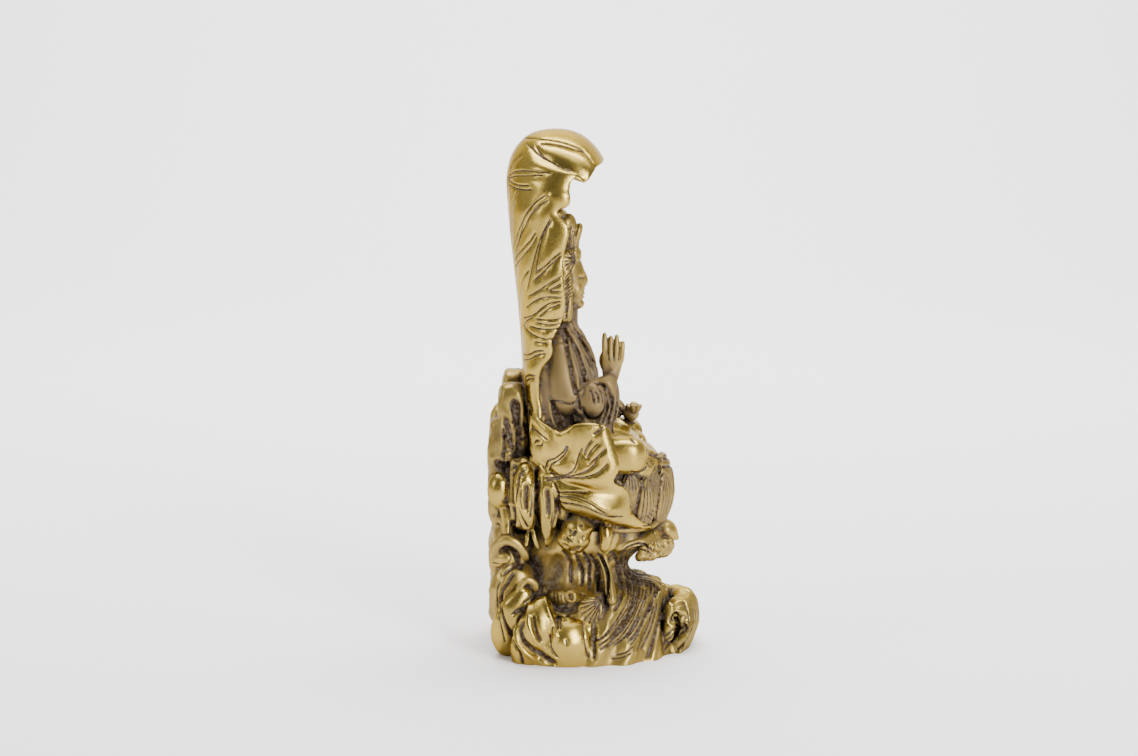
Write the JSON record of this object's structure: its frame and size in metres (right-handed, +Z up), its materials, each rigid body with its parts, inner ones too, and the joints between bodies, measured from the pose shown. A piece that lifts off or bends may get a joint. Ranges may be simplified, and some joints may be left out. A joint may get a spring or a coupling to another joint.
{
  "type": "guanyin figure",
  "caption": "Cast brass figure of Guanyin seated on a lotus inside a tall curled lotus leaf, over rocks and breaking waves, in one piece with its base.",
  "frame": {"origin": "on the flat underside, below the middle of the base", "axes": "+Z up, +X the way the figure faces, +Y the figure's own left"},
  "size_m": [0.1081, 0.1097, 0.2594],
  "materials": {
    "brass": "cast brass, polished on the high places, with dark brown and grey patina in the hollows"
  },
  "bodies": {
    "root": {"guanyin_figure": "brass"}
  },
  "joints": []
}
